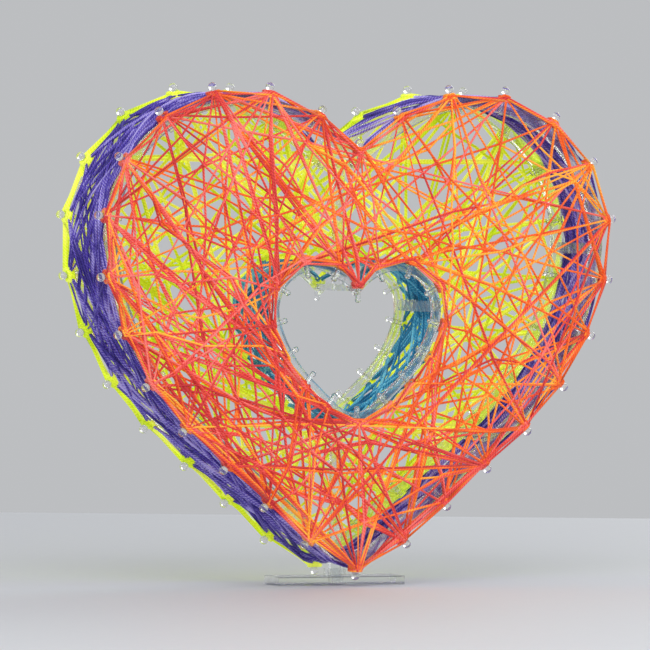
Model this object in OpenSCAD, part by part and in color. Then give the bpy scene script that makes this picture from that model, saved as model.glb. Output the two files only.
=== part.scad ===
// String-art heart: clear snap-together frame, pins, coloured thread and a clear foot.
// +X is to the right, +Y goes to the back, +Z is up. The table is z = 0 and the heart stands over x = y = 0.
// Every heart line is drawn flat in X and Y and then stood up: arcs for the shoulder, lobe, flank and tip of
// one half, joined tangent to tangent, with one straight side between the flank and the tip.

/* [Outer heart] */
// From the middle line to the centre of a lobe
outer_lobe_x = 56.8; // [50:0.1:70]
// Radius of the lobe, at the outer edge of the ring
outer_lobe_r = 64.4; // [54:0.1:78]
// Radius of the shoulder, between the notch and the lobe
outer_shoulder_r = 106; // [90:1:130]
// Angle of the edge's normal where the shoulder meets the lobe
outer_shoulder_at = 113.6; // [100:0.1:120]
// Radius of the flank, between the lobe and the straight side
outer_flank_r = 125.3; // [104:0.1:150]
// Angle of the edge's normal where the lobe meets the flank
outer_flank_at = -9.4; // [-12:0.1:-7]
// Angle of the straight side's normal
outer_side_at = -49.5; // [-52:0.1:-45]
// Radius of the rounded tip
outer_tip_r = 18.3; // [15:0.1:22]
// Height of the ring's tip above the table
outer_tip_z = 10.1; // [9.5:0.1:16]

/* [Inner heart] */
// From the middle line to the centre of a lobe of the hole
inner_lobe_x = 19.9; // [16:0.1:24]
// Radius of the hole's lobe
inner_lobe_r = 18.1; // [14:0.1:22]
// Radius of the hole's shoulder
inner_shoulder_r = 31.1; // [25:0.1:38]
// Angle of the edge's normal where the shoulder meets the lobe
inner_shoulder_at = 112.6; // [100:0.1:120]
// Radius of the hole's flank
inner_flank_r = 58.5; // [48:0.1:70]
// Angle of the edge's normal where the lobe meets the flank
inner_flank_at = -16.5; // [-20:0.1:-12]
// Angle of the straight side's normal
inner_side_at = -46.7; // [-50:0.1:-42]
// Radius of the hole's rounded tip
inner_tip_r = 13.8; // [11:0.1:17]
// From the tip of the outer ring up to the tip of the hole
hole_rise = 68.3; // [54:0.1:82]

/* [Rings] */
// Width of an outer ring, seen from the front
outer_ring_w = 5; // [4:0.1:6]
// Width of an inner ring, seen from the front
inner_ring_w = 3.2; // [2.9:0.1:4]
// Depth of a ring, from front to back
ring_d = 4.5; // [3.7:0.1:5.5]
// From the middle of the front pins to the middle of the back pins
pin_planes = 47.3; // [38:0.1:60]

/* [Pins] */
// Pins on each side of the outer ring, without the notch and tip pins
outer_pins = 13; // [9:1:15]
// Pins on each side of the inner ring, without the notch and tip pins
inner_pins = 7; // [5:1:8]
// Radius of a pin's shaft
pin_r = 1.1; // [0.9:0.1:1.3]
// How deep a pin lies in the ring's face
pin_sink = 0.6; // [0.4:0.1:0.8]
// How far an outer pin's shaft reaches past the ring on its inner side
outer_tail = 1; // [0.5:0.1:1.6]
// From the outer ring's edge to the middle of a pin's head
outer_head_out = 5; // [4:0.1:6.5]
// Radius of an outer pin's head
outer_head_r = 2; // [1.7:0.1:2.4]
// How far an inner pin's shaft reaches past the ring on the thread's side
inner_tail = 3.4; // [2.8:0.1:4]
// From the hole's edge to the middle of a pin's head
inner_head_out = 1.8; // [1.5:0.1:2.2]
// Radius of an inner pin's head
inner_head_r = 1.35; // [1.3:0.05:1.6]
// Play round a pin in its groove
groove_play = 0.03; // [0.01:0.01:0.1]

/* [Struts and ribs] */
// Width of a strut, along the ring
strut_w = 5; // [4.2:0.1:6]
// Thickness of a strut, across the ring
strut_t = 2.8; // [2.5:0.1:2.9]
// Width of the strut that the tang goes through
tang_strut_w = 9; // [8.8:0.1:11]
// Width of the tongue on a strut's or a rib's end
tongue_w = 3; // [2.4:0.1:3.4]
// Thickness of the tongue
tongue_t = 1.4; // [1.2:0.1:1.5]
// Length of the tongue
tongue_l = 1.6; // [1.2:0.1:1.9]
// Play round a tongue in its slot
tongue_play = 0.1; // [0.05:0.05:0.2]
// Width of a rib
rib_w = 5; // [4:0.1:6]
// Thickness of a rib, from front to back
rib_t = 3; // [2.5:0.1:3.6]

/* [Thread] */
// Depth that the orange or the coral web takes up
face_thread_t = 1.2; // [1:0.1:1.5]
// Depth that the yellow-green web takes up
back_thread_t = 2.4; // [1.8:0.1:3]
// Thickness of the thread on the side walls
wall_thread_t = 1.6; // [1.3:0.1:2]
// How far a web reaches past the outer ring's edge, round the pins
web_reach = 2.6; // [2:0.1:2.9]
// Gap between thread and ring
thread_gap = 0.1; // [0.05:0.05:0.3]

/* [Foot] */
// Width of the foot
foot_w = 62; // [50:1:76]
// Depth of the foot
foot_d = 17; // [14:0.5:24]
// Thickness of the foot's plate
foot_t = 4; // [3.4:0.1:5]
// Flat along the plate's edges
foot_chamfer = 0.5; // [0.3:0.1:0.8]
// Height of the socket's collar over the plate
collar_h = 3.2; // [2.5:0.1:3.5]
// Wall of the socket's collar
collar_wall = 1.5; // [1.2:0.1:2]
// Plate left under the socket
socket_floor = 1.2; // [0.8:0.1:1.5]
// Play round the tang in its socket
tang_play = 0.15; // [0.1:0.05:0.3]
// Gap between the tang's end and the socket's floor
tang_gap = 0.3; // [0.2:0.1:0.5]

/* [Hidden] */
$fn = 96;
OUTER = [
    outer_lobe_x, outer_lobe_r, outer_shoulder_r, outer_shoulder_at,
    outer_flank_r, outer_flank_at, outer_side_at, outer_tip_r, outer_tip_z,
];
INNER = [
    inner_lobe_x, inner_lobe_r, inner_shoulder_r, inner_shoulder_at,
    inner_flank_r, inner_flank_at, inner_side_at, inner_tip_r, outer_tip_z + hole_rise,
];
pin_plane = pin_planes / 2;
ring_face = pin_plane - pin_r + pin_sink;
strut_l = 2 * (ring_face - ring_d);
strut_in = outer_ring_w - strut_t / 2;  // from the outer ring's edge to the middle of a strut
wall_l = 2 * (pin_plane - pin_r - 3 * thread_gap);
web_start = pin_plane + pin_r + thread_gap;
far = 400;                              // longer than anything here
step_deg = 2;                           // step of the points along a heart line's arcs
clear = "#E4EEF2";

// ---- the heart line: centres, ends and points of one half ----

function dir(a) = [cos(a), sin(a)];
function lobe_local(h) = [h[0], 0];
function shoulder_local(h) = lobe_local(h) - (h[2] - h[1]) * dir(h[3]);
function flank_local(h) = lobe_local(h) - (h[4] - h[1]) * dir(h[5]);
function side_reach(h) = (flank_local(h) + h[4] * dir(h[6])) * dir(h[6]);
function tip_local(h) = [0, (side_reach(h) - h[7]) / sin(h[6])];
function rise(h) = [0, h[8] - (tip_local(h)[1] - h[7])];

// Each arc of one half, from the notch down to the tip: centre, radius, first angle, last angle.
function notch_at(h, out) = acos(-shoulder_local(h)[0] / (h[2] + out));
function arcs(h, out = 0) = [
    [shoulder_local(h) + rise(h), h[2] + out, notch_at(h, out), h[3]],
    [lobe_local(h) + rise(h), h[1] + out, h[3], h[5]],
    [flank_local(h) + rise(h), h[4] + out, h[5], h[6]],
    [tip_local(h) + rise(h), h[7] + out, h[6], -90],
];
function on_arc(arc, a) = arc[0] + arc[1] * dir(a);
function side_start(h, out = 0) = on_arc(arcs(h, out)[2], h[6]);
function side_l(h) = norm(side_start(h) - on_arc(arcs(h)[3], h[6]));
function arc_l(arc) = arc[1] * (arc[2] - arc[3]) * PI / 180;
function notch_z(h, out = 0) = on_arc(arcs(h, out)[0], notch_at(h, out))[1];

// Length of each stretch of one half: shoulder, lobe, flank, straight side, tip.
function stretches(h) = [
    arc_l(arcs(h)[0]), arc_l(arcs(h)[1]), arc_l(arcs(h)[2]), side_l(h), arc_l(arcs(h)[3]),
];
function half_l(h) = stretches(h) * [1, 1, 1, 1, 1];
function run_in(arc, s) = arc[2] - s / arc[1] * 180 / PI;

// The angle of the edge's normal, and the point on the edge, at the length s from the notch.
function station(h, s, i = 0) =
    i < 4 && s > stretches(h)[i] ? station(h, s - stretches(h)[i], i + 1) :
    i == 3 ? [h[6], side_start(h) + s * dir(h[6] - 90)] :
    let (arc = arcs(h)[i == 4 ? 3 : i], a = run_in(arc, s)) [a, on_arc(arc, a)];

// Places spaced evenly from the notch to the tip, count of them between the two.
function place(h, count, k) =
    k == 0 ? [90, [0, notch_z(h)]] :
    k == count + 1 ? [-90, [0, h[8]]] :
    station(h, half_l(h) * k / (count + 1));

function half_edge(h, out) = [
    for (arc = arcs(h, out)) let (n = ceil((arc[2] - arc[3]) / step_deg))
        for (i = [0 : n]) on_arc(arc, arc[2] + (arc[3] - arc[2]) * i / n)
];
function flip(points) = [for (i = [len(points) - 2 : -1 : 1]) [-points[i][0], points[i][1]]];

module heart_area(h, out) {
    half = half_edge(h, out);
    polygon(concat(half, flip(half)));
}

// Turns what is drawn flat, with its front up, so that it stands with its front at -Y.
module stood() {
    rotate([90, 0, 0]) children();
}

// A bar along the whole heart line: d deep and w wide, from x0 outwards.
module heart_bar(h, x0, w, d) {
    linear_extrude(d, center = true) difference() {
        heart_area(h, x0 + w);
        heart_area(h, x0);
    }
}

// ---- pins ----

// Puts the child at each pin's place on the edge, with +X away from the inside of the heart line.
module at_pins(h, count) {
    for (k = [0 : count + 1]) {
        spot = place(h, count, k);
        for (side = k == 0 || k == count + 1 ? [0] : [0, 1]) mirror([side, 0, 0])
            translate(spot[1]) rotate([0, 0, spot[0]]) children();
    }
}

// A pin lies along +X across the ring's face, from the end of its tail to its round head.
module pin(tail, head_out, head_r) {
    translate([-tail, 0, 0]) rotate([0, 90, 0]) cylinder(h = tail + head_out, r = pin_r);
    translate([head_out, 0, 0]) sphere(head_r);
}

// way is 1 for the front and -1 for the back.
module outer_pin_set(way) {
    color(clear) stood() translate([0, 0, way * pin_plane]) at_pins(OUTER, outer_pins)
        pin(outer_ring_w + outer_tail, outer_head_out, outer_head_r);
}

// The heads of the inner pins are over the hole.
module inner_pin_set(way) {
    color(clear) stood() translate([0, 0, way * pin_plane]) at_pins(INNER, inner_pins)
        rotate([0, 0, 180]) pin(inner_ring_w + inner_tail, inner_head_out, inner_head_r);
}

module front_outer_pins() { outer_pin_set(1); }
module back_outer_pins() { outer_pin_set(-1); }
module front_inner_pins() { inner_pin_set(1); }
module back_inner_pins() { inner_pin_set(-1); }

// The groove across the ring's face that a pin lies in.
module groove() {
    rotate([0, 90, 0]) cylinder(h = 5 * outer_ring_w, r = pin_r + groove_play, center = true);
}

// ---- struts: each lies along the depth, between a front ring and a back ring ----

// Where each strut goes: the angle that it is turned to, and its middle.
// The struts between pins sit half a pin space along, so that no slot meets a groove.
function between(h, count, k) = station(h, half_l(h) * (k + 0.5) / (count + 1));
function inward(spot, d) = [spot[0], spot[1] - d * dir(spot[0])];
function on_side(spot, side) = side > 0 ? spot : [180 - spot[0], [-spot[1][0], spot[1][1]]];
function notch_in(h, out) = [90, [0, (notch_z(h, out) + notch_z(h, 0)) / 2 + (out > 0 ? 1 : -1)]];

TOP = inward(between(OUTER, outer_pins, 2), strut_in);
SIDE = inward(between(OUTER, outer_pins, 6), strut_in);
LOW = inward(between(OUTER, outer_pins, 10), strut_in);
HOLE_SIDE = inward(between(INNER, inner_pins, 3), -inner_ring_w / 2);
NOTCH = notch_in(OUTER, -outer_ring_w);
TIP = [-90, [0, outer_tip_z + strut_in]];
HOLE_NOTCH = notch_in(INNER, inner_ring_w);
HOLE_TIP = [-90, [0, INNER[8] - inner_ring_w / 2]];

// A bar centred on the flat drawing, x across the ring and y along it.
module strut(spot, width) {
    translate(spot[1]) rotate([0, 0, spot[0]]) {
        cube([strut_t, width, strut_l], center = true);
        cube([tongue_t, tongue_w, strut_l + 2 * tongue_l], center = true);
    }
}

module strut_slots(spot) {
    translate(spot[1]) rotate([0, 0, spot[0]])
        cube([
            tongue_t + 2 * tongue_play, tongue_w + 2 * tongue_play,
            strut_l + 2 * tongue_l + 2 * tongue_play,
        ], center = true);
}

// The slot in the middle of a strut that takes a rib's tongue.
module rib_slot(spot) {
    translate(spot[1]) cube([
        tongue_w + 2 * tongue_play, 2 * strut_t, tongue_t + 2 * tongue_play,
    ], center = true);
}

module plain_strut(spot, side) {
    color(clear) stood() strut(on_side(spot, side), strut_w);
}

module top_left_strut() { plain_strut(TOP, -1); }
module top_right_strut() { plain_strut(TOP, 1); }
module side_left_strut() { plain_strut(SIDE, -1); }
module side_right_strut() { plain_strut(SIDE, 1); }
module low_left_strut() { plain_strut(LOW, -1); }
module low_right_strut() { plain_strut(LOW, 1); }
module inner_left_strut() { plain_strut(HOLE_SIDE, -1); }
module inner_right_strut() { plain_strut(HOLE_SIDE, 1); }

module slotted_strut(spot) {
    color(clear) stood() difference() {
        strut(spot, strut_w);
        rib_slot(spot);
    }
}

module notch_strut() { slotted_strut(NOTCH); }
module inner_notch_strut() { slotted_strut(HOLE_NOTCH); }
module inner_tip_strut() { slotted_strut(HOLE_TIP); }

module tip_strut() {
    color(clear) stood() difference() {
        strut(TIP, tang_strut_w);
        translate(TIP[1]) cube([
            rib_w + 2 * tongue_play, 2 * strut_t, rib_t + 2 * tongue_play,
        ], center = true);
    }
}

// ---- rings ----

module ring(h, count, way, x0, w) {
    difference() {
        translate([0, 0, way * (ring_face - ring_d / 2)]) heart_bar(h, x0, w, ring_d);
        translate([0, 0, way * pin_plane]) at_pins(h, count) groove();
    }
}

module outer_ring(way) {
    color(clear) stood() difference() {
        ring(OUTER, outer_pins, way, -outer_ring_w, outer_ring_w);
        for (spot = [TOP, SIDE, LOW], side = [-1, 1]) strut_slots(on_side(spot, side));
        for (spot = [NOTCH, TIP]) strut_slots(spot);
    }
}

module inner_ring(way) {
    color(clear) stood() difference() {
        ring(INNER, inner_pins, way, 0, inner_ring_w);
        for (side = [-1, 1]) strut_slots(on_side(HOLE_SIDE, side));
        for (spot = [HOLE_NOTCH, HOLE_TIP]) strut_slots(spot);
    }
}

module front_outer_ring() { outer_ring(1); }
module back_outer_ring() { outer_ring(-1); }
module front_inner_ring() { inner_ring(1); }
module back_inner_ring() { inner_ring(-1); }

// ---- ribs: upright bars halfway between the front and the back ----

module rib(low, high) {
    translate([0, (low + high) / 2, 0]) cube([rib_w, high - low, rib_t], center = true);
}

module rib_tongues(low, high) {
    translate([0, (low + high) / 2, 0]) cube([tongue_w, high - low, tongue_t], center = true);
}

module upper_rib() {
    low = HOLE_NOTCH[1][1] + strut_t / 2;
    high = NOTCH[1][1] - strut_t / 2;
    color(clear) stood() {
        rib(low, high);
        rib_tongues(low - tongue_l, high + tongue_l);
    }
}

// The lower rib runs on through the tip strut as the tang that stands in the foot.
module lower_rib() {
    low = socket_floor + tang_gap;
    high = HOLE_TIP[1][1] - strut_t / 2;
    color(clear) stood() {
        rib(low, high);
        rib_tongues(low + tongue_l, high + tongue_l);
    }
}

// ---- foot ----

// The plate's section, its depth along x and its height along y.
module foot_section() {
    half = foot_d / 2;
    polygon([
        [foot_chamfer - half, 0], [half - foot_chamfer, 0],
        [half, foot_chamfer], [half, foot_t - foot_chamfer],
        [half - foot_chamfer, foot_t], [foot_chamfer - half, foot_t],
        [-half, foot_t - foot_chamfer], [-half, foot_chamfer],
    ]);
}

module foot_plate() {
    collar = [rib_w + 2 * (tang_play + collar_wall), rib_t + 2 * (tang_play + collar_wall)];
    color(clear) difference() {
        union() {
            rotate([90, 0, 90]) linear_extrude(foot_w, center = true) foot_section();
            translate([-collar[0] / 2, -collar[1] / 2, 0]) cube([collar[0], collar[1], foot_t + collar_h]);
        }
        translate([-rib_w / 2 - tang_play, -rib_t / 2 - tang_play, socket_floor])
            cube([rib_w + 2 * tang_play, rib_t + 2 * tang_play, far]);
    }
}

// ---- thread: the plain room that each colour takes up ----

// A web over the front or the back. It lies on the pins, with room round the heads of the outer ones.
module web(z, t) {
    stood() translate([0, 0, z]) linear_extrude(t) difference() {
        heart_area(OUTER, web_reach);
        heart_area(INNER, inner_ring_w);
        at_pins(OUTER, outer_pins) translate([outer_head_out, 0]) circle(outer_head_r + thread_gap);
    }
}

module front_orange_thread() { color("#FF6A0A") web(web_start, face_thread_t); }
module front_coral_thread() { color("#E8443A") web(web_start + face_thread_t, face_thread_t); }
module back_green_thread() { color("#C8F01E") web(-web_start - back_thread_t, back_thread_t); }

module thread_wall(h, x0) {
    heart_bar(h, x0, wall_thread_t, wall_l);
}

// The outer wall leaves room for the tang.
module outer_purple_thread() {
    room = rib_w / 2 + wall_thread_t;
    color("#5A34B8") stood() difference() {
        thread_wall(OUTER, thread_gap);
        translate([-room, 0, -far]) cube([2 * room, outer_tip_z + outer_ring_w, 2 * far]);
    }
}

// The inner wall goes round the inner ring and leaves room for the ribs.
module inner_turquoise_thread() {
    window = [rib_w + 2 * thread_gap, far, rib_t + 2 * thread_gap];
    color("#1696B4") stood() difference() {
        thread_wall(INNER, inner_ring_w + thread_gap);
        translate([0, INNER[8], 0]) cube(window, center = true);
    }
}

foot_plate();
front_outer_ring();
back_outer_ring();
front_inner_ring();
back_inner_ring();
notch_strut();
tip_strut();
top_left_strut();
top_right_strut();
side_left_strut();
side_right_strut();
low_left_strut();
low_right_strut();
inner_notch_strut();
inner_tip_strut();
inner_left_strut();
inner_right_strut();
upper_rib();
lower_rib();
front_outer_pins();
back_outer_pins();
front_inner_pins();
back_inner_pins();
front_orange_thread();
front_coral_thread();
back_green_thread();
outer_purple_thread();
inner_turquoise_thread();
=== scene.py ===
"""Looks of the string-art heart: neon thread wound round the pins of a clear frame, on a clear foot.

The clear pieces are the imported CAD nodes. Each colour of thread goes from pin to pin, with a full turn
round every pin that it comes to, and it replaces the plain room that the CAD keeps for it. Everything is
in metres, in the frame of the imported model: +X right, +Y back, +Z up.
"""

import math

import bpy
import numpy as np
from mathutils import Matrix, Vector


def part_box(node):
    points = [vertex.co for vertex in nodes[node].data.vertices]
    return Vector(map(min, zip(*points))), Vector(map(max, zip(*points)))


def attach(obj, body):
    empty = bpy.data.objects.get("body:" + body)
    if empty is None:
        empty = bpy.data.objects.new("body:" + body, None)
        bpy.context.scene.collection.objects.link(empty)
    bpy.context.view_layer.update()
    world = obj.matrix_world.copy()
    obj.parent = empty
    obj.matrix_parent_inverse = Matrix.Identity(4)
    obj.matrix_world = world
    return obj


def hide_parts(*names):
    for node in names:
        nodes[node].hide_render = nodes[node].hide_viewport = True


MM = 0.001
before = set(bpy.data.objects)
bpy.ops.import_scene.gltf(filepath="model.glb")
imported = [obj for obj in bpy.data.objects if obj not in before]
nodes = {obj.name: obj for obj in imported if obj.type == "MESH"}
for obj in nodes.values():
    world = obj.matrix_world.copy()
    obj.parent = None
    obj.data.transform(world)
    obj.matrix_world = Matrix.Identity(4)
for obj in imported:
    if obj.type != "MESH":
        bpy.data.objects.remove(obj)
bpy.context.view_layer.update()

FRONT = np.array([0.0, -1.0, 0.0])
BACK = np.array([0.0, 1.0, 0.0])

# thread
THREAD_R = 0.52 * MM
GREEN_R = 0.74 * MM  # the yellow-green thread is a little thicker
WALL_R = 0.45 * MM  # the violet and the turquoise thread are a little thinner
THREAD_SIDES = 6
PLIES = 2
TWIST = 3.0 * MM  # length in which the plies go once round each other
SAME_POINT = 0.02 * MM  # points of a thread that are nearer than this are one
STRETCH_TONE = 0.5  # how much whole stretches differ in tone, against patches along them
PLY_PAINTED_SHADE = 0.12  # how much painted shade darkens the groove between the plies, and painted light pales their crests
FIBRE_BUMP = 0.3  # how far the fibres stand out, against the plies

# patterns, each in cells to the metre
TONE_PATCHES = 60.0  # a thread gets paler or darker about every 17 mm
FIBRES = 2500.0  # 0.4 mm apart, coarser than real fibres so that they show
MOULD_RIPPLES = 90.0  # 11 mm from wave to wave on a cooled moulding
SCUFFS = 700.0  # 1.4 mm, from handling
LACQUER_GRAIN = 400.0  # 2.5 mm, coarser than real so that it shows

# windings on the pins
SHAFT_R = 1.1 * MM
TAIL_START, TAIL_LENGTH = 0.4 * MM, 2.4 * MM  # the stretch of an inner pin's tail that takes thread
NECK_START, NECK_LENGTH = 2.5 * MM, 2.3 * MM  # the same under an outer pin's head
TURN_STEPS = 9  # points of the thread in one turn round a pin
TURN_CLIMB = 1.6  # how far one turn goes along the shaft, in thread radii
MOST_LEAN = 0.5  # radians that a turn starts or ends to one side, for a thread that comes from there
LEAN_FROM = 0.05  # how far to the side it comes from for the whole lean
LAYER = 0.45 * MM  # how much each layer of turns adds to the winding's radius
THICKEST = 3.0 * MM  # radius where a winding stops growing
WALL_ROWS = (0.5,)  # shares of a pin's stretch where the side wall's thread is wound, under the other
WEB_ROWS = (0.12, 0.5, 0.88)  # and where the web's thread is wound over it

# side walls
EDGE_STEPS = 720  # directions in which the edge of a ring is measured
EDGE_POINTS = 160  # points that are measured along each edge of a ring's mesh
BEND_STEPS = 10  # points of a wall's thread between two pins
NEAR_RIM = 1.5 * MM  # how far outside the line of pins a wall's stretch may pass
SAME_SIDE = 1.5  # weight of a stretch that stays on the front or on the back
PILE = (0.1, 0.9)  # mm that a thread lies off the ring's edge, on the threads below it
BOW = (3, 14)  # mm that a thread between two pins of one side bows towards the wall's middle
SINK_DEPTH = 8 * MM  # from the ring inwards, where a thread reaches its full sink
RIB_SIDE = 4 * MM  # a thread that is nearer than this to the upright ribs' middle passes them
RIB_CLEAR = 4.6 * MM  # this far in front of them or behind them

# webs
CHORD_CHECKS, WALL_CHECKS = 40, 24  # places along a stretch where it is held against the lines of pins
HOLE_GAP = 1.5 * MM  # how near to the hole's line of pins a stretch may pass
TRIES = 6000  # random spots that are tried as meeting places
RIM_MARGIN, HOLE_MARGIN = 9 * MM, 4 * MM  # meeting places keep this far from the lines of pins
HOOK_ENDS = 0.08  # share of a stretch, at each end, without hooks
HOOKS_APART = 7 * MM
MISSED = 0.25  # share of the meeting places that a thread passes without hooking
HOOK_STRAY, HOOK_LIFT = 0.5 * MM, 0.35 * MM  # how far a hook strays in the web and off it
SIDE_REACH = 40 * MM  # how far right of the middle a pin is wanted as a right-hand one in full
TIP_TOP = 80 * MM  # pins lower than this are at the tip

AZIMUTH = -22.95  # degrees from straight in front to where the camera stands


# ---- materials ----


def linear(text):
    """The linear colour of an sRGB hex value."""
    parts = [int(text[i : i + 2], 16) / 255 for i in (1, 3, 5)]
    return [c / 12.92 if c <= 0.04045 else ((c + 0.055) / 1.055) ** 2.4 for c in parts] + [1.0]


def add(tree, kind, settings=None, inputs=(), **links):
    """Adds one node. Settings are its own fields or unlinked sockets, and links are socket=output.

    Inputs are numbers or outputs for its sockets in order, where the sockets all have the same name.
    """
    made = tree.nodes.new(kind)
    for name, value in (settings or {}).items():
        if hasattr(made, name):
            setattr(made, name, value)
        else:
            made.inputs[name].default_value = value
    for socket, value in zip(made.inputs, inputs):
        if isinstance(value, bpy.types.NodeSocket):
            tree.links.new(value, socket)
        else:
            socket.default_value = value
    for name, source in links.items():
        tree.links.new(source, made.inputs[name.replace("_", " ")])
    return made


def new_material(name):
    """An empty material: its node tree, its shader and the surface output."""
    made = bpy.data.materials.new(name)
    made.use_nodes = True
    tree = made.node_tree
    tree.nodes.clear()
    shader = add(tree, "ShaderNodeBsdfPrincipled")
    add(tree, "ShaderNodeOutputMaterial", Surface=shader.outputs["BSDF"])
    return made, tree, shader


def twisted_thread(name, painted_shade, colour, painted_highlight, painted_glow):
    """Twisted polyester craft thread: two plies, matt, faint sheen, painted highlight and shade in random
    stretches.

    The glow is painted light: the thread gives out light of its own, which keeps its shaded side
    bright. The plies are drawn from the thread's own map: u goes once round it and v is its length in
    twists.
    """
    made, tree, shader = new_material(name)
    thread_map = add(tree, "ShaderNodeUVMap", {"uv_map": "thread"})
    parts = add(tree, "ShaderNodeSeparateXYZ", Vector=thread_map.outputs["UV"])
    spiral = add(tree, "ShaderNodeMath", {"operation": "ADD"}, (parts.outputs["X"], parts.outputs["Y"]))
    turn = 2 * math.pi * PLIES
    turned = add(tree, "ShaderNodeMath", {"operation": "MULTIPLY"}, (spiral.outputs[0], turn))
    ply = add(tree, "ShaderNodeMath", {"operation": "SINE"}, (turned.outputs[0],))
    place = add(tree, "ShaderNodeTexCoord").outputs["Object"]
    stretch = add(tree, "ShaderNodeAttribute", {"attribute_name": "stretch_tone"})
    patches = add(tree, "ShaderNodeTexNoise", {"Scale": TONE_PATCHES, "Detail": 3.0}, Vector=place)
    uneven = (stretch.outputs["Fac"], STRETCH_TONE, patches.outputs["Fac"])
    uneven_tone = add(tree, "ShaderNodeMath", {"operation": "MULTIPLY_ADD"}, uneven)
    fibre = add(tree, "ShaderNodeTexNoise", {"Scale": FIBRES, "Detail": 2.0}, Vector=place)
    # painted shade in the groove between the plies, painted light on their crests
    ply_shaded_tone = (ply.outputs[0], PLY_PAINTED_SHADE, uneven_tone.outputs[0])
    tone = add(tree, "ShaderNodeMath", {"operation": "MULTIPLY_ADD"}, ply_shaded_tone)
    # painted light: the ramp runs from painted shade through the thread's colour to a painted highlight,
    # picked by the random tone
    ramp = add(tree, "ShaderNodeValToRGB", Fac=tone.outputs[0])
    steps = ramp.color_ramp.elements
    steps[0].position = 0.48
    steps[0].color = linear(painted_shade)
    steps[1].position = 1.0
    steps[1].color = linear(painted_highlight)
    steps.new(0.76).color = linear(colour)
    raised = (fibre.outputs["Fac"], FIBRE_BUMP, ply.outputs[0])
    height = add(tree, "ShaderNodeMath", {"operation": "MULTIPLY_ADD"}, raised).outputs[0]
    bump = add(tree, "ShaderNodeBump", {"Strength": 0.5, "Distance": 0.12 * MM}, Height=height)
    tree.links.new(ramp.outputs["Color"], shader.inputs["Base Color"])
    tree.links.new(bump.outputs["Normal"], shader.inputs["Normal"])
    shader.inputs["Roughness"].default_value = 0.55
    shader.inputs["Sheen Weight"].default_value = 0.15
    shader.inputs["Sheen Roughness"].default_value = 0.4
    # painted glow: the thread's colour is given out as light, though it is no lamp
    tree.links.new(ramp.outputs["Color"], shader.inputs["Emission Color"])
    shader.inputs["Emission Strength"].default_value = painted_glow
    return made


def clear_plastic(name, tint, roughness, ripple, bending):
    """Injection-moulded clear polystyrene: clean gloss, with the slow ripple of a cooled moulding.

    Cast acrylic is the same with less ripple. Bending is the share of the light that it bends, and the
    rest goes straight on, as through a thin wall.
    """
    made, tree, shader = new_material(name)
    place = add(tree, "ShaderNodeTexCoord").outputs["Object"]
    waves = add(tree, "ShaderNodeTexNoise", {"Scale": MOULD_RIPPLES, "Detail": 2.0}, Vector=place)
    scuffs = add(tree, "ShaderNodeTexNoise", {"Scale": SCUFFS, "Detail": 4.0}, Vector=place)
    height = waves.outputs["Fac"]
    bump = add(tree, "ShaderNodeBump", {"Strength": ripple, "Distance": 0.3 * MM}, Height=height)
    wear = add(tree, "ShaderNodeMapRange", {"To Min": roughness * 0.6, "To Max": roughness * 1.6})
    tree.links.new(scuffs.outputs["Fac"], wear.inputs["Value"])
    tree.links.new(wear.outputs["Result"], shader.inputs["Roughness"])
    tree.links.new(bump.outputs["Normal"], shader.inputs["Normal"])
    shader.inputs["Base Color"].default_value = linear(tint)
    shader.inputs["IOR"].default_value = 1.59
    shader.inputs["Transmission Weight"].default_value = 0.96
    shader.inputs["Alpha"].default_value = bending
    return made


def painted_table(name):
    """Pale matt lacquer on board: an even surface with a very fine grain."""
    made, tree, shader = new_material(name)
    place = add(tree, "ShaderNodeTexCoord").outputs["Object"]
    grain = add(tree, "ShaderNodeTexNoise", {"Scale": LACQUER_GRAIN, "Detail": 4.0}, Vector=place)
    ramp = add(tree, "ShaderNodeValToRGB", Fac=grain.outputs["Fac"])
    ramp.color_ramp.elements[0].color = linear("#D3D5D9")
    ramp.color_ramp.elements[1].color = linear("#DBDDE0")
    tree.links.new(ramp.outputs["Color"], shader.inputs["Base Color"])
    shader.inputs["Roughness"].default_value = 0.55
    return made


# ---- pins ----


class Pin:
    """One pin of the frame, and the stretch of its shaft that thread is wound on."""

    def __init__(self, start, along, length, out):
        self.start = start
        self.along = along
        self.length = length
        self.out = out  # away from the frame: to the front or to the back
        self.turns = {WALL_ROWS: 0, WEB_ROWS: 0}

    def winding(self, thread_r, rows):
        """The place along the shaft and the radius of the next turn."""
        layer, row = divmod(self.turns[rows], len(rows))
        self.turns[rows] += 1
        under = 0 if rows == WALL_ROWS else LAYER * (layer + 1)
        return rows[row] * self.length, min(SHAFT_R + thread_r + under, THICKEST)


def loose_parts(obj):
    """The corner points of each separate solid in a mesh, found through the points that faces share."""
    mesh = obj.data
    points = np.empty(len(mesh.vertices) * 3, np.float32)
    mesh.vertices.foreach_get("co", points)
    points = points.reshape(-1, 3).astype(float)
    grid = np.round(points / (0.01 * MM)).astype(int)
    spots, same = np.unique(grid, axis=0, return_inverse=True)
    same = same.ravel()
    group = np.arange(len(spots))

    def root(i):
        while group[i] != i:
            group[i] = group[group[i]]
            i = group[i]
        return i

    for edge in mesh.edges:
        a, b = (root(same[v]) for v in edge.vertices)
        if a != b:
            group[a] = b
    owner = np.array([root(i) for i in same])
    return [points[owner == part] for part in np.unique(owner)]


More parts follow.
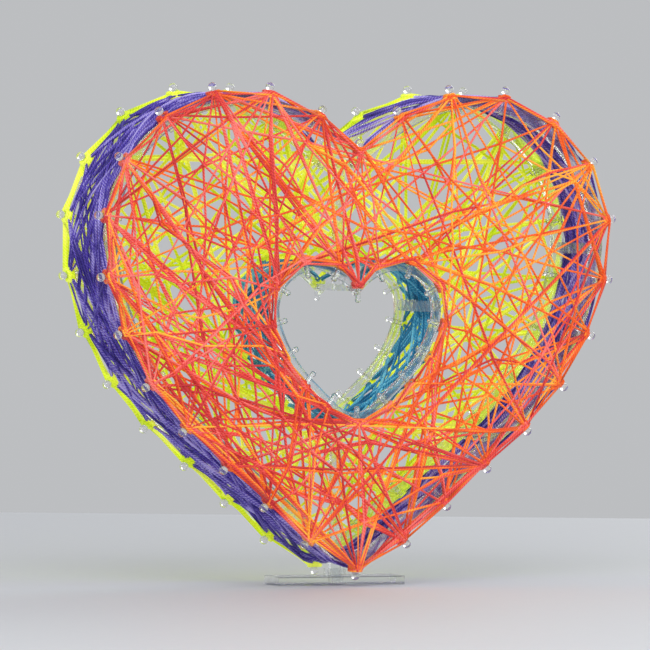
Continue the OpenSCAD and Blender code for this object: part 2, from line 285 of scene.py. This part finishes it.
def pins_of(node, out, middle, wind_on_tail):
    """The pins of a node, in order round the heart, with the stretch of each that takes thread."""
    pins = []
    for points in loose_parts(nodes[node]):
        centre = (points.max(0) + points.min(0)) / 2
        flat = points[:, [0, 2]] - centre[[0, 2]]
        _, _, axes = np.linalg.svd(flat - flat.mean(0), full_matrices=False)
        along = np.array([axes[0][0], 0.0, axes[0][1]])
        reach = (points - centre) @ along
        if abs(reach.max() - reach.mean()) > abs(reach.min() - reach.mean()):
            along = -along
            reach = -reach
        head_r = (points[:, 1].max() - points[:, 1].min()) / 2
        head = centre + along * (reach.max() - head_r)
        tail = centre + along * reach.min()
        if wind_on_tail:
            pins.append(Pin(tail + along * TAIL_START, along, TAIL_LENGTH, out))
        else:
            pins.append(Pin(head - along * (head_r + NECK_START), along, NECK_LENGTH, out))
    return sorted(pins, key=lambda pin: math.atan2(pin.start[0] - middle[0], pin.start[2] - middle[2]))


# ---- routes ----


def flat_line(pins):
    """The closed line through the pins' windings, seen from the front."""
    return np.array([(pin.start + pin.along * pin.length / 2)[[0, 2]] for pin in pins])


def inside(points, line):
    """Which points are inside a closed line."""
    after = np.roll(line, -1, axis=0)
    x, z = points[:, 0:1], points[:, 1:2]
    straddles = (line[:, 1] > z) != (after[:, 1] > z)
    rise = after[:, 1] - line[:, 1] + 1e-12
    cross = line[:, 0] + (z - line[:, 1]) / rise * (after[:, 0] - line[:, 0])
    return (straddles & (x < cross)).sum(1) % 2 == 1


def off_line(points, line):
    """How far each point is from a closed line."""
    after = np.roll(line, -1, axis=0)
    side = after - line
    away = points[:, None, :] - line[None]
    share = np.clip((away * side).sum(2) / (side * side).sum(1), 0, 1)
    return np.linalg.norm(away - share[..., None] * side, axis=2).min(1)


def shares(count):
    """Shares of the way along a straight stretch, without its ends."""
    return (np.arange(count) + 0.5)[:, None] / count


def face_chords(outer, inner):
    """Which pins of a face a straight thread may join: inside the heart and clear of the hole."""
    rim, hole = flat_line(outer), flat_line(inner)
    spots = np.vstack([rim, hole])
    count, edge = len(spots), len(rim)
    allowed = np.zeros((count, count), bool)
    for i in range(edge):
        for j in range(i + 1, count):
            if j < edge and min(j - i, edge - j + i) < 2:
                continue
            way = spots[i] + (spots[j] - spots[i]) * shares(CHORD_CHECKS)
            clear_hole = off_line(way[:-1], hole).min() > HOLE_GAP if j < edge else True
            if inside(way, rim).all() and not inside(way, hole).any() and clear_hole:
                allowed[i, j] = allowed[j, i] = True
    return allowed


def wander(weights, length, rng, wanted):
    """A walk over the stretches that have a weight, which comes to each pin about as often as wanted."""
    at = int(np.argmax(weights.sum(1) > 0))
    visits = np.zeros(len(weights))
    walk = [at]
    for _ in range(length):
        chance = weights[at] * wanted / (1.0 + visits / wanted) ** 2
        if len(walk) > 1 and np.count_nonzero(chance) > 1:
            chance[walk[-2]] = 0
        at = int(rng.choice(len(weights), p=chance / chance.sum()))
        visits[at] += 1
        walk.append(at)
    return walk


def rounds(pins, count):
    """Walks along neighbouring pins, the whole way round."""
    return [pins[i % len(pins)] for i in range(count * len(pins) + 1)]


def wall_walk(front, back, stretches, reach, rng):
    """A walk round a side wall, mostly from front to back, over pins that are up to reach apart."""
    rim = flat_line(front)
    count = len(front)
    pins = front + back
    weights = np.zeros((2 * count, 2 * count))
    for i in range(count):
        for j in range(count):
            apart = min((i - j) % count, (j - i) % count)
            if not 0 < apart <= reach:
                continue
            way = rim[i] + (rim[j] - rim[i]) * shares(WALL_CHECKS)
            if off_line(way[~inside(way, rim)], rim).max(initial=0) < NEAR_RIM:
                weights[i, count + j] = weights[count + j, i] = apart**2
                if 1 < apart < reach:
                    weights[i, j] = weights[count + i, count + j] = SAME_SIDE
    walk = wander(weights, stretches, rng, np.ones(2 * count))
    return [pins[i] for i in walk]


def past_rib(start, points, end):
    """Takes a thread that comes across an upright rib past its front or its back."""
    way = np.vstack([start, points, end])
    for i in np.flatnonzero(way[:-1, 0] * way[1:, 0] < 0)[::-1]:
        share = way[i, 0] / (way[i, 0] - way[i + 1, 0])
        place = way[i] + (way[i + 1] - way[i]) * share
        if abs(place[1]) < RIB_CLEAR:
            place[1] = math.copysign(RIB_CLEAR, place[1])
            near = (np.abs(way[:, 0]) < RIB_SIDE) & (np.abs(way[:, 1]) < RIB_CLEAR)
            way[near, 1] = place[1]
            way = np.insert(way, i + 1, place, axis=0)
    return way[1:-1]


class Wall:
    """What a side wall's thread bends over: the edge of a pair of rings, and the struts behind it."""

    def __init__(self, ring, struts, middle, slack, sink):
        self.slack = slack  # how far its threads stray from straight, as a share of their length
        self.sink = sink  # how far they sink in between the rings, down to the threads below them
        mesh = nodes[ring].data
        ends = np.array([[mesh.vertices[v].co for v in edge.vertices] for edge in mesh.edges])
        along = np.linspace(0, 1, EDGE_POINTS)[:, None, None]
        points = (ends[:, 0] * (1 - along) + ends[:, 1] * along).reshape(-1, 3)
        self.middle = np.array(middle)
        turn, radius = self.polar(points)
        slot = np.floor((turn + math.pi) / (2 * math.pi) * EDGE_STEPS).astype(int) % EDGE_STEPS
        self.radius = np.zeros(EDGE_STEPS)
        np.maximum.at(self.radius, slot, radius)
        self.turn = (np.arange(EDGE_STEPS) + 0.5) / EDGE_STEPS * 2 * math.pi - math.pi
        low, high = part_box(ring)
        self.depth = min(abs(low[1]), abs(high[1]))
        self.blocks = []
        for name in struts:
            corners = np.array([vertex.co for vertex in nodes[name].data.vertices])
            turn, radius = self.polar(corners)
            inset = (self.edge_radius(turn) - radius).min()
            self.blocks.append((corners.min(0) - WALL_R, corners.max(0) + WALL_R, inset))

    def polar(self, points):
        """Turn and distance of points from the middle, seen from the front."""
        flat = (points - self.middle)[..., [0, 2]]
        return np.arctan2(flat[..., 0], flat[..., 1]), np.linalg.norm(flat, axis=-1)

    def edge_radius(self, turn):
        """Distance of the ring's outer edge from the middle."""
        return np.interp(turn, self.turn, self.radius, period=2 * math.pi)

    def bend(self, start, end, rng):
        """Points of a slightly slack thread, pushed out to the ring's edge where it would cut into it."""
        share = shares(BEND_STEPS)
        points = start + (end - start) * share
        outward = (points[BEND_STEPS // 2] - self.middle) * [1, 0, 1]
        outward /= np.linalg.norm(outward)
        across = np.cross(end - start, outward) / np.linalg.norm(end - start)
        bow = np.sin(math.pi * share)
        if start[1] * end[1] > 0:
            points -= np.sign(start[1]) * BACK * rng.uniform(*BOW) * MM * np.sqrt(bow)
        slack = self.slack * np.linalg.norm(end - start)
        # it strays in a bow, and half as much in an S
        wave = rng.normal(0, slack) * bow
        wave = wave + rng.normal(0, 0.5 * slack) * np.sin(2 * math.pi * share)
        points += across * wave
        turn, radius = self.polar(points)
        edge = self.edge_radius(turn) + WALL_R + rng.uniform(*PILE) * MM
        inset = np.clip((self.depth - 2 * WALL_R - np.abs(points[:, 1])) / SINK_DEPTH, 0, 1)
        inset *= rng.uniform(0, self.sink)
        step = np.linalg.norm(end - start) / len(points)
        for low, high, strut_inset in self.blocks:
            hit = ((points > low - step) & (points < high + step)).all(1)
            inset = np.where(hit, np.minimum(inset, strut_inset), inset)
        push = np.maximum(edge - inset - radius, 0.0)
        held = np.flatnonzero(push > 0)
        if len(held):
            ends = np.concatenate([[0.0], share[held, 0], [1.0]])
            push = np.interp(share[:, 0], ends, np.concatenate([[0.0], push[held], [0.0]]))
            points += (points - self.middle) * [1, 0, 1] * (push / radius)[:, None]
        return past_rib(start, points, end)


def meeting_places(outer, inner, spacing, rng):
    """Places inside a web where the threads that pass by hook round each other."""
    rim, hole = flat_line(outer), flat_line(inner)
    found = np.empty((0, 2))
    for spot in rng.uniform(rim.min(0), rim.max(0), (TRIES, 2)):
        one = spot[None]
        if not inside(one, rim)[0] or inside(one, hole)[0]:
            continue
        if off_line(one, rim)[0] < RIM_MARGIN or off_line(one, hole)[0] < HOLE_MARGIN:
            continue
        if len(found) == 0 or np.linalg.norm(found - spot, axis=1).min() > spacing:
            found = np.vstack([found, spot])
    return found


def hooked(places, pull):
    """Makes the bends of a thread that is drawn to the meeting places that it passes within pull of."""

    def bend(start, end, rng):
        length = np.linalg.norm(end - start)
        ahead = (end - start) / length
        across = np.cross(ahead, BACK)
        away = np.column_stack([places[:, 0], np.full(len(places), start[1]), places[:, 1]]) - start
        onward, off = away @ ahead, away @ across
        far_in = (onward > HOOK_ENDS * length) & (onward < (1 - HOOK_ENDS) * length)
        near = (abs(off) < pull) & far_in
        points = []
        last = 0.0
        for i in np.flatnonzero(near)[np.argsort(onward[near])]:
            if onward[i] - last < HOOKS_APART or rng.random() < MISSED:
                continue
            last = onward[i]
            shift = off[i] + rng.normal(0, HOOK_STRAY)
            lift = BACK * rng.normal(0, HOOK_LIFT)
            points.append(start + ahead * onward[i] + across * shift + lift)
        return np.array(points).reshape(-1, 3)

    return bend


def straight(start, end, rng):
    """No bends, for a tight thread between neighbouring pins."""
    return np.empty((0, 3))


def wanted_at(pins, side):
    """How much thread each pin gets. Side leans it to the tip, and to the right or, below 0, the left."""
    right = np.array([np.clip(pin.start[0] / SIDE_REACH, -1, 1) for pin in pins])
    near_tip = np.array([pin.start[2] < TIP_TOP for pin in pins])
    return np.where(near_tip, 1 + abs(side), 1 + side * right)


def thinned(allowed, share, rng):
    """Keeps a random share of the stretches, so that some are gone over more than once."""
    kept = np.triu(rng.random(allowed.shape) < share, 1)
    return allowed & (kept | kept.T)


# ---- thread ----


def turn_round(pin, before, after, thread_r, rows, rng):
    """The points of one full turn round a pin, between where the thread comes from and where it goes."""
    place, radius = pin.winding(thread_r, rows)
    centre = pin.start + pin.along * place
    across = np.cross(pin.along, pin.out)
    middle = (before + after) / 2 - centre
    # a web's thread starts on the pin's outer side, and a wall's on the side towards the wall
    outward = 1.0 if middle @ pin.out >= -0.3 * np.linalg.norm(middle) else -1.0
    up = pin.out * outward
    lean_in = np.clip((before - centre) @ across / LEAN_FROM, -1, 1) * MOST_LEAN
    lean_out = np.clip((after - centre) @ across / LEAN_FROM, -1, 1) * MOST_LEAN
    way = 1.0 if rng.random() < 0.5 else -1.0
    angles = np.linspace(lean_in, lean_out + way * 2 * math.pi, TURN_STEPS)
    shift = np.linspace(-0.5, 0.5, TURN_STEPS)[:, None] * TURN_CLIMB * thread_r
    ring = np.cos(angles)[:, None] * up + np.sin(angles)[:, None] * across
    return centre + pin.along * shift + ring * radius


def thread_line(walk, thread_r, bend, rng, rows=WEB_ROWS):
    """One thread that goes round the pins of a walk in turn, bent between them: x, y, z and tone."""
    spots = [pin.start + pin.along * pin.length / 2 for pin in walk]
    line, tones = [], []
    for i, pin in enumerate(walk):
        before = spots[max(i - 1, 0)]
        after = spots[min(i + 1, len(walk) - 1)]
        turn = turn_round(pin, before, after, thread_r, rows, rng)
        if line:
            line.append(bend(line[-1][-1], turn[0], rng))
        line.append(turn)
        tones += [rng.random()] * (sum(map(len, line)) - len(tones))
    return np.column_stack([np.vstack(line), tones])


def web_thread(pins, allowed, thread_r, bend, rng, stretches, side):
    """One thread that wanders over a face of the heart."""
    walk = wander(allowed.astype(float), stretches, rng, wanted_at(pins, side))
    return thread_line([pins[i] for i in walk], thread_r, bend, rng)


def tube(line, radius):
    """Points, faces, thread map and tones of a round tube along a line."""
    steps = np.diff(line[:, :3], axis=0)
    keep = np.concatenate([[True], np.linalg.norm(steps, axis=1) > SAME_POINT])
    tones = line[keep, 3]
    line = line[keep, :3]
    steps = np.diff(line, axis=0)
    steps /= np.linalg.norm(steps, axis=1)[:, None]
    heading = np.vstack([steps[:1], steps[:-1] + steps[1:], steps[-1:]])
    heading /= np.maximum(np.linalg.norm(heading, axis=1), 1e-9)[:, None]
    side = Vector(heading[0]).orthogonal().normalized()
    rings = []
    last = Vector(heading[0])
    for point, ahead in zip(line, heading):
        ahead = Vector(ahead)
        side = last.rotation_difference(ahead) @ side
        side = (side - ahead * side.dot(ahead)).normalized()
        last = ahead
        other = ahead.cross(side)
        angles = np.arange(THREAD_SIDES) * 2 * math.pi / THREAD_SIDES
        ring = np.cos(angles)[:, None] * np.array(side) + np.sin(angles)[:, None] * np.array(other)
        rings.append(point + ring * radius)
    points = np.vstack(rings)
    count = len(line)
    around = np.arange(THREAD_SIDES)
    onward = (around + 1) % THREAD_SIDES
    low = np.arange(count - 1)[:, None] * THREAD_SIDES
    high = low + THREAD_SIDES
    faces = np.stack([low + around, low + onward, high + onward, high + around], axis=2).reshape(-1, 4)
    travelled = np.concatenate([[0.0], np.cumsum(np.linalg.norm(np.diff(line, axis=0), axis=1))])
    twist = travelled / TWIST
    u = np.stack([around, around + 1, around + 1, around], axis=1) / THREAD_SIDES
    u = np.broadcast_to(u, (count - 1, THREAD_SIDES, 4))
    v = np.stack([twist[:-1], twist[:-1], twist[1:], twist[1:]], axis=1)[:, None, :]
    v = np.broadcast_to(v, (count - 1, THREAD_SIDES, 4))
    return points, faces, np.stack([u, v], axis=3).reshape(-1, 2), np.repeat(tones, THREAD_SIDES)


def thread_piece(name, lines, radius, material, node):
    """One colour of thread as a single mesh that stands for its CAD node."""
    points, faces, maps, tones = [], [], [], []
    start = 0
    for line in lines:
        part, quads, uv, tone = tube(line, radius)
        tones.append(tone)
        points.append(part)
        faces.append(quads + start)
        maps.append(uv)
        first_ring = start + np.arange(THREAD_SIDES)
        start += len(part)
        faces.append([first_ring[::-1], start - THREAD_SIDES + np.arange(THREAD_SIDES)])
        maps.append(np.zeros((2 * THREAD_SIDES, 2)))
    mesh = bpy.data.meshes.new(name)
    mesh.from_pydata(np.vstack(points).tolist(), [], [list(map(int, f)) for part in faces for f in part])
    uv_layer = mesh.uv_layers.new(name="thread")
    uv_layer.data.foreach_set("uv", np.vstack(maps).ravel().astype(np.float32))
    mesh.polygons.foreach_set("use_smooth", [True] * len(mesh.polygons))
    tone_layer = mesh.attributes.new("stretch_tone", "FLOAT", "POINT")
    tone_layer.data.foreach_set("value", np.concatenate(tones).astype(np.float32))
    mesh.materials.append(material)
    piece = bpy.data.objects.new(name, mesh)
    bpy.context.scene.collection.objects.link(piece)
    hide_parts(node)
    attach(piece, "heart")
    return piece


# ---- the frame's clear pieces ----

# tint, roughness, ripple and bending of each
frame_plastic = clear_plastic("moulded_clear_polystyrene", "#F4F8FA", 0.06, 0.12, 0.75)
pin_plastic = clear_plastic("moulded_clear_pin_polystyrene", "#FFFFFF", 0.08, 0.15, 0.85)
foot_plastic = clear_plastic("cast_clear_acrylic", "#F3F6F6", 0.05, 0.1, 0.75)

for name, node in nodes.items():
    node.data.materials.clear()
    if name.endswith("pins"):
        node.data.materials.append(pin_plastic)
    elif name == "foot_plate":
        node.data.materials.append(foot_plastic)
    else:
        node.data.materials.append(frame_plastic)

# ---- the threads ----

middle = Vector((0.0, 0.0, 0.115))  # what the outer pins go round
inner_middle = Vector((0.0, 0.0, 0.108))  # and the inner ones
front_outer = pins_of("front_outer_pins", FRONT, middle, False)
back_outer = pins_of("back_outer_pins", BACK, middle, False)
front_inner = pins_of("front_inner_pins", FRONT, inner_middle, True)
back_inner = pins_of("back_inner_pins", BACK, inner_middle, True)

rng = np.random.default_rng(11)

struts = [name for name in nodes if name.endswith("strut")]
inner_struts = [name for name in struts if name.startswith("inner")]
outer_struts = [name for name in struts if name not in inner_struts]
outer_wall = Wall("front_outer_ring", outer_struts, middle, slack=0.03, sink=5 * MM)
inner_wall = Wall("front_inner_ring", inner_struts, inner_middle, slack=0.03, sink=2 * MM)

front_pins = front_outer + front_inner
back_pins = back_outer + back_inner

violet_walk = wall_walk(front_outer, back_outer, stretches=430, reach=5, rng=rng)
turquoise_walk = wall_walk(front_inner, back_inner, stretches=220, reach=4, rng=rng)
violet = [thread_line(violet_walk, WALL_R, outer_wall.bend, rng, WALL_ROWS)]
turquoise = [thread_line(turquoise_walk, WALL_R, inner_wall.bend, rng, WALL_ROWS)]

back_places = meeting_places(back_outer, back_inner, spacing=8 * MM, rng=rng)
front_places = meeting_places(front_outer, front_inner, spacing=12 * MM, rng=rng)
back_bend = hooked(back_places, pull=1.2 * MM)
front_bend = hooked(front_places, pull=4 * MM)
back_allowed = face_chords(back_outer, back_inner)
front_allowed = thinned(face_chords(front_outer, front_inner), share=0.75, rng=rng)

green = [
    web_thread(back_pins, back_allowed, GREEN_R, back_bend, rng, stretches=200, side=0),
    thread_line(rounds(back_outer, 3), GREEN_R, straight, rng),
    thread_line(rounds(back_inner, 2), GREEN_R, straight, rng),
]
orange = [
    web_thread(front_pins, front_allowed, THREAD_R, front_bend, rng, stretches=120, side=0),
    thread_line(rounds(front_inner, 2), THREAD_R, straight, rng),
]
coral = [
    web_thread(front_pins, front_allowed, THREAD_R, front_bend, rng, stretches=190, side=-0.7),
    thread_line(rounds(front_inner, 1), THREAD_R, straight, rng),
    thread_line(rounds(front_outer, 1), THREAD_R, straight, rng),
]
orange += [
    web_thread(front_pins, front_allowed, THREAD_R, front_bend, rng, stretches=60, side=0.3),
    thread_line(rounds(front_outer, 1), THREAD_R, straight, rng),
]

# painted shade, colour, painted highlight and painted glow of each
orange_dyed = twisted_thread("twisted_neon_orange_polyester", "#E04A14", "#FF7418", "#FFB838", 0.2)
coral_dyed = twisted_thread("twisted_coral_polyester", "#C42A2E", "#EC4238", "#F87E74", 0.16)
green_dyed = twisted_thread("twisted_neon_yellow_green_polyester", "#BEDC10", "#E2F624", "#F4FF60", 0.4)
violet_dyed = twisted_thread("twisted_violet_polyester", "#302088", "#634CC6", "#C4B8FA", 0.08)
turquoise_dyed = twisted_thread("twisted_turquoise_polyester", "#0A5F8A", "#1A92C0", "#7AD4EA", 0.12)

for node, lines, radius, material, slot in (
    ("front_orange_thread", orange, THREAD_R, orange_dyed, "orange_thread"),
    ("front_coral_thread", coral, THREAD_R, coral_dyed, "coral_thread"),
    ("back_green_thread", green, GREEN_R, green_dyed, "yellow_green_thread"),
    ("outer_purple_thread", violet, WALL_R, violet_dyed, "violet_thread"),
    ("inner_turquoise_thread", turquoise, WALL_R, turquoise_dyed, "turquoise_thread"),
):
    piece = thread_piece(slot, lines, radius, material, node)

# ---- table, light and camera ----

TABLE_DEPTH = 1.4  # its far edge shows behind the heart
bpy.ops.mesh.primitive_plane_add(size=TABLE_DEPTH, rotation=(0, 0, math.radians(AZIMUTH)))
table = bpy.context.object
table.scale = (3.0, 1.0, 1.0)
table.name = "table"
table.data.materials.append(painted_table("pale_lacquered_board"))

HEART_MIDDLE = (0, 0, 0.12)


def area_light(name, place, size, power):
    """A soft square light that faces the heart."""
    data = bpy.data.lights.new(name, "AREA")
    data.size = size
    data.energy = power
    light = bpy.data.objects.new(name, data)
    light.location = place
    light.rotation_euler = (Vector(HEART_MIDDLE) - Vector(place)).to_track_quat("-Z", "Y").to_euler()
    bpy.context.scene.collection.objects.link(light)


area_light("key", (-0.5, -1.3, 1.1), size=0.9, power=12)
area_light("fill", (1.3, -1.0, 0.5), size=1.0, power=6)
area_light("rim", (1.3, 1.0, 0.8), size=0.9, power=7)

world = bpy.data.worlds.new("studio")
world.use_nodes = True
sky = world.node_tree.nodes["Background"]
sky.inputs["Color"].default_value = linear("#E9EBEE")
sky.inputs["Strength"].default_value = 0.62
bpy.context.scene.world = world
bpy.context.scene.view_settings.view_transform = "Standard"

CAMERA_DISTANCE = 3.36
CAMERA_SIDESTEP = (-0.005625, -0.01675)  # right and up, which puts the heart where it is in the frame
LOOK_AT = (0, 0, 0.13425)
camera_data = bpy.data.cameras.new("camera")
camera_data.lens = 411
camera_data.sensor_width = 36
camera = bpy.data.objects.new("camera", camera_data)
bpy.context.scene.collection.objects.link(camera)
elevation, roll = math.radians(1.08), math.radians(0.56)
turn = (
    Matrix.Rotation(math.radians(AZIMUTH), 4, "Z")
    @ Matrix.Rotation(math.pi / 2 - elevation, 4, "X")
    @ Matrix.Rotation(roll, 4, "Z")
)
offset = Matrix.Translation((*CAMERA_SIDESTEP, CAMERA_DISTANCE))
camera.matrix_world = Matrix.Translation(LOOK_AT) @ turn @ offset
bpy.context.scene.camera = camera
